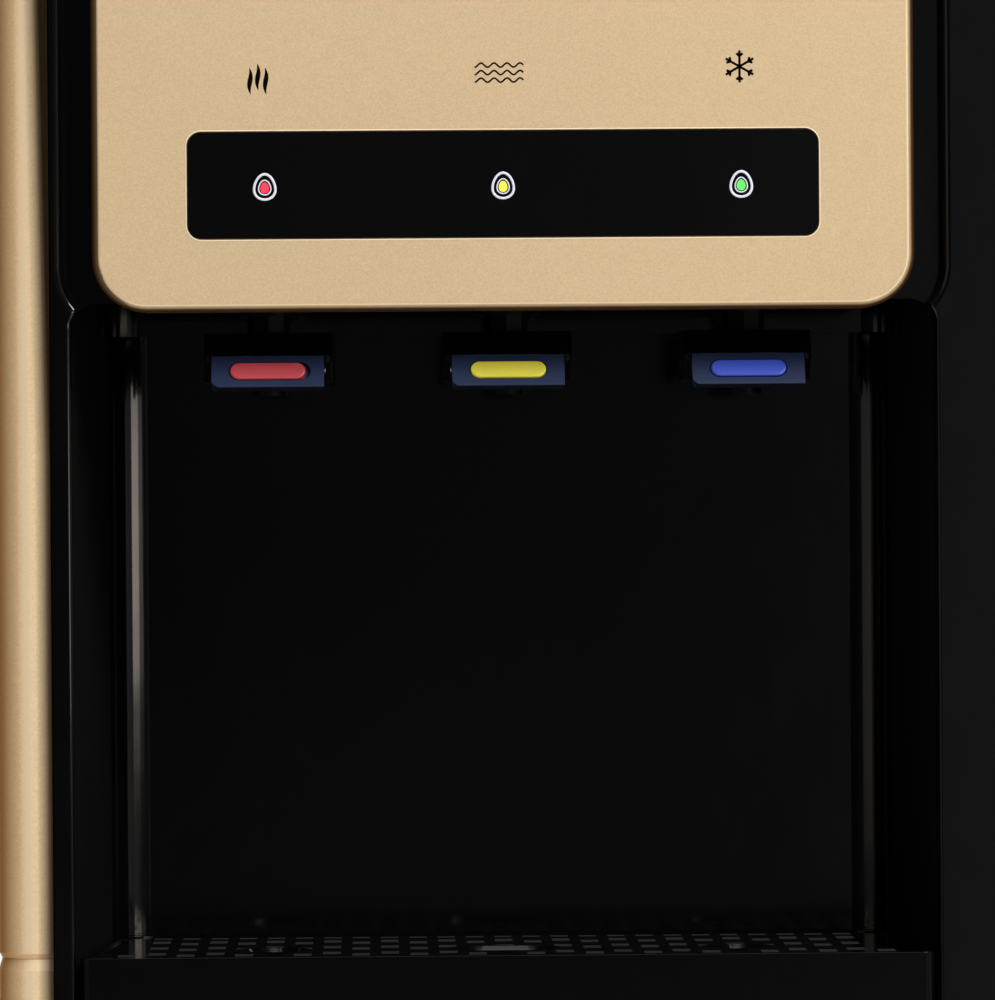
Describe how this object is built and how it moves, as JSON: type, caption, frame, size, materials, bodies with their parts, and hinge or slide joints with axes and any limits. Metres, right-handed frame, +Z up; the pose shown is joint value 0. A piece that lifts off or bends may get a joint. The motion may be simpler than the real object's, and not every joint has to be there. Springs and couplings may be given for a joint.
{
  "type": "water dispenser",
  "caption": "Floor-standing water dispenser with press taps in a black niche, drip tray, gold control panel, storage door and a seat for an upturned bottle.",
  "frame": {"origin": "on the floor under the middle of the cabinet", "axes": "+Z up, front towards -Y, +X to the right of a person who faces the front"},
  "size_m": [0.321, 0.33, 1],
  "materials": {
    "champagne_sheet": "satin metallic paint",
    "champagne_moulding": "satin metallic paint on moulded plastic",
    "black_gloss": "polished moulding",
    "black_moulding": "fine textured moulding",
    "slate_blue": "satin moulding",
    "hot_red": "satin moulding",
    "warm_yellow": "satin moulding",
    "cold_blue": "satin moulding",
    "lens_red": "lit lens",
    "lens_yellow": "lit lens",
    "lens_green": "lit lens",
    "white_moulding": "plain moulding",
    "bead_foam": "bead foam",
    "stainless": "brushed",
    "zinc_sheet": "zinc coated sheet",
    "rear_sheet": "powder coat",
    "black_enamel": "enamel",
    "heater_mica": "plain",
    "silicone": "soft",
    "black_rubber": "soft",
    "circuit_board": "lacquered board"
  },
  "bodies": {
    "cabinet": {"left_lower_side": "champagne_sheet", "right_lower_side": "champagne_sheet", "left_upper_side": "champagne_sheet", "right_upper_side": "champagne_sheet", "control_panel": "champagne_moulding", "front_bezel": "black_gloss", "niche_liner": "black_gloss", "display_window": "black_gloss", "top_cover": "black_gloss", "bottle_collar": "black_gloss", "tap_body_hot": "black_moulding", "tap_body_warm": "black_moulding", "tap_body_cold": "black_moulding", "plinth": "black_moulding", "tap_nuts": "black_moulding", "switch_plate": "black_moulding", "power_inlet": "black_moulding", "drain_outlet": "black_moulding", "door_catch": "black_moulding", "indicator_hot": "lens_red", "indicator_warm": "lens_yellow", "indicator_cold": "lens_green", "storage_liner": "white_moulding", "feed_probe": "white_moulding", "cold_tank_jacket": "bead_foam", "cold_tank": "stainless", "hot_tank": "stainless", "tank_link_pipe": "stainless", "lever_pins": "stainless", "door_pins": "stainless", "base_plate": "zinc_sheet", "middle_deck": "zinc_sheet", "tank_deck": "zinc_sheet", "condenser_brackets": "zinc_sheet", "rear_panel": "rear_sheet", "compressor": "black_enamel", "condenser": "black_enamel", "heater_band": "heater_mica", "hose_hot": "silicone", "hose_warm": "silicone", "hose_cold": "silicone", "feet": "black_rubber", "compressor_mounts": "black_rubber", "control_board": "circuit_board"},
    "door": {"door_panel": "champagne_moulding", "door_liner": "white_moulding"},
    "tray": {"drip_tray": "black_gloss"},
    "grille": {"drip_grille": "black_moulding"},
    "lever_hot": {"tap_lever_hot": "slate_blue"},
    "safety_slider": {"safety_slider_hot": "hot_red"},
    "lever_warm": {"tap_lever_warm": "slate_blue", "insert_warm": "warm_yellow"},
    "lever_cold": {"tap_lever_cold": "slate_blue", "insert_cold": "cold_blue"},
    "stem_hot": {"valve_stem_hot": "silicone"},
    "stem_warm": {"valve_stem_warm": "silicone"},
    "stem_cold": {"valve_stem_cold": "silicone"},
    "heating_switch": {"rocker_heating": "hot_red"},
    "cooling_switch": {"rocker_cooling": "cold_blue"},
    "drain_plug": {"drain_cap": "black_moulding"}
  },
  "joints": [
    {"name": "door_hinge", "type": "hinge", "parent": "cabinet", "child": "door", "pos_m": [0.1335, -0.155, 0.3], "axis": [0, 0, 1], "range_deg": [0, 95]},
    {"name": "tray_slide", "type": "slide", "parent": "cabinet", "child": "tray", "axis": [0, -1, 0], "range_m": [0, 0.12]},
    {"name": "grille_lift", "type": "slide", "parent": "tray", "child": "grille", "axis": [0, 0, 1], "range_m": [0, 0.04]},
    {"name": "press_hot", "type": "hinge", "parent": "cabinet", "child": "lever_hot", "pos_m": [-0.0782, -0.126, 0.7775], "axis": [1, 0, 0], "range_deg": [0, 14], "stiffness_Nm_per_rad": 0.8, "springref_deg": -5.73},
    {"name": "lift_hot", "type": "slide", "parent": "cabinet", "child": "stem_hot", "axis": [0, 0, 1], "range_m": [0, 0.0021]},
    {"name": "press_warm", "type": "hinge", "parent": "cabinet", "child": "lever_warm", "pos_m": [-0.0055, -0.126, 0.7775], "axis": [1, 0, 0], "range_deg": [0, 14], "stiffness_Nm_per_rad": 0.8, "springref_deg": -5.73},
    {"name": "lift_warm", "type": "slide", "parent": "cabinet", "child": "stem_warm", "axis": [0, 0, 1], "range_m": [0, 0.0021]},
    {"name": "press_cold", "type": "hinge", "parent": "cabinet", "child": "lever_cold", "pos_m": [0.0672, -0.126, 0.7775], "axis": [1, 0, 0], "range_deg": [0, 14], "stiffness_Nm_per_rad": 0.8, "springref_deg": -5.73},
    {"name": "lift_cold", "type": "slide", "parent": "cabinet", "child": "stem_cold", "axis": [0, 0, 1], "range_m": [0, 0.0021]},
    {"name": "safety_slide", "type": "slide", "parent": "lever_hot", "child": "safety_slider", "axis": [1, 0, 0], "range_m": [0, 0.0012], "stiffness_N_per_m": 400, "springref_m": -0.002},
    {"name": "heating_rocker", "type": "hinge", "parent": "cabinet", "child": "heating_switch", "pos_m": [0.09, 0.15625, 0.9], "axis": [-1, 0, 0], "range_deg": [0, 16]},
    {"name": "cooling_rocker", "type": "hinge", "parent": "cabinet", "child": "cooling_switch", "pos_m": [0.11, 0.15625, 0.9], "axis": [-1, 0, 0], "range_deg": [0, 16]},
    {"name": "drain_cap_pull", "type": "slide", "parent": "cabinet", "child": "drain_plug", "axis": [0, 1, 0], "range_m": [0, 0.02]}
  ],
  "couplings": [
    {"joint": "lift_hot", "follows": "press_hot", "m_per_rad": 0.0085935},
    {"joint": "lift_warm", "follows": "press_warm", "m_per_rad": 0.0085935},
    {"joint": "lift_cold", "follows": "press_cold", "m_per_rad": 0.0085935}
  ]
}
